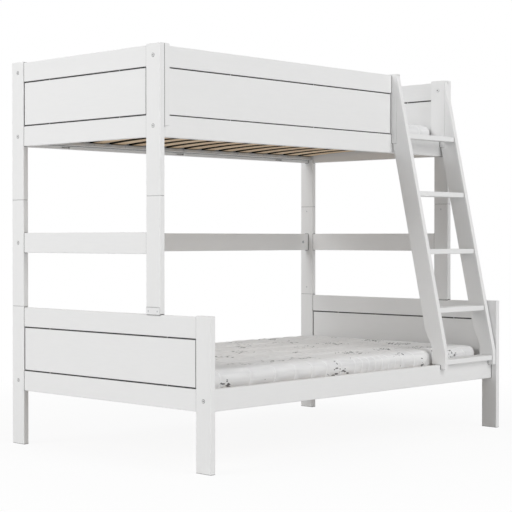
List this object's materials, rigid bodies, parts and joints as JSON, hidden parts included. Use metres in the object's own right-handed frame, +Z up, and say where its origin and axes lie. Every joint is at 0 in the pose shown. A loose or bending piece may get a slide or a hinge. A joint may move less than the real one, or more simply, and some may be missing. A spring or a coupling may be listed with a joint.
{
  "type": "bunk bed",
  "caption": "White wooden bunk bed: a wide lower bed, a narrower guarded upper bed over its back half, slatted bases, quilted mattresses and a slanted fixed ladder.",
  "frame": {"origin": "on the floor, under the middle of the bed's outer box", "axes": "+X along the bed towards the ladder, +Y towards the back, +Z up"},
  "size_m": [2.068, 1.348, 1.797],
  "materials": {
    "white_lacquer": "satin white lacquer on solid wood",
    "bare_pine": "planed bare pine",
    "mattress_cover": "quilted grey-white knit",
    "white_hardware": "white powder coat",
    "zinc_steel": "zinc plated"
  },
  "bodies": {
    "frame": {"lower_post_back_left": "white_lacquer", "lower_post_front_left": "white_lacquer", "extension_post_back_left": "white_lacquer", "extension_post_front_left": "white_lacquer", "upper_post_back_left": "white_lacquer", "upper_post_front_left": "white_lacquer", "lower_end_top_board_left": "white_lacquer", "lower_end_panel_left": "white_lacquer", "lower_end_bottom_board_left": "white_lacquer", "upper_end_top_board_left": "white_lacquer", "upper_end_panel_left": "white_lacquer", "upper_end_bottom_board_left": "white_lacquer", "ladder_stile_left": "white_lacquer", "lower_post_back_right": "white_lacquer", "lower_post_front_right": "white_lacquer", "extension_post_back_right": "white_lacquer", "extension_post_front_right": "white_lacquer", "upper_post_back_right": "white_lacquer", "upper_post_front_right": "white_lacquer", "lower_end_top_board_right": "white_lacquer", "lower_end_panel_right": "white_lacquer", "lower_end_bottom_board_right": "white_lacquer", "upper_end_top_board_right": "white_lacquer", "upper_end_panel_right": "white_lacquer", "upper_end_bottom_board_right": "white_lacquer", "ladder_stile_right": "white_lacquer", "mid_rail_left": "white_lacquer", "mid_rail_right": "white_lacquer", "mid_rail_back": "white_lacquer", "lower_rail_back": "white_lacquer", "lower_rail_front": "white_lacquer", "lower_ledgers": "white_lacquer", "lower_slats": "bare_pine", "upper_rail_back": "white_lacquer", "upper_rail_front": "white_lacquer", "upper_ledgers": "white_lacquer", "upper_slats": "bare_pine", "guard_top_board_front": "white_lacquer", "guard_panel_front": "white_lacquer", "guard_top_board_back": "white_lacquer", "guard_panel_back": "white_lacquer", "guard_upright_front_left": "white_lacquer", "guard_upright_ladder_left": "white_lacquer", "guard_upright_ladder_right": "white_lacquer", "guard_upright_back_left": "white_lacquer", "guard_upright_back_right": "white_lacquer", "ladder_step_1": "white_lacquer", "ladder_step_2": "white_lacquer", "ladder_step_3": "white_lacquer", "ladder_step_4": "white_lacquer", "ladder_step_5": "white_lacquer", "foot_brackets": "white_hardware", "frame_bolts": "white_hardware", "ladder_bolts": "white_hardware", "barrel_nuts": "zinc_steel", "post_joint_plates": "zinc_steel", "panel_dowels": "white_lacquer"},
    "upper_mattress": {"upper_mattress": "mattress_cover"},
    "lower_mattress": {"lower_mattress": "mattress_cover"}
  },
  "joints": [
    {"name": "upper_mattress_lift", "type": "slide", "parent": "frame", "child": "upper_mattress", "axis": [0, 0, 1], "range_m": [0, 0.4]},
    {"name": "lower_mattress_lift", "type": "slide", "parent": "frame", "child": "lower_mattress", "axis": [0, 0, 1], "range_m": [0, 0.05]}
  ]
}
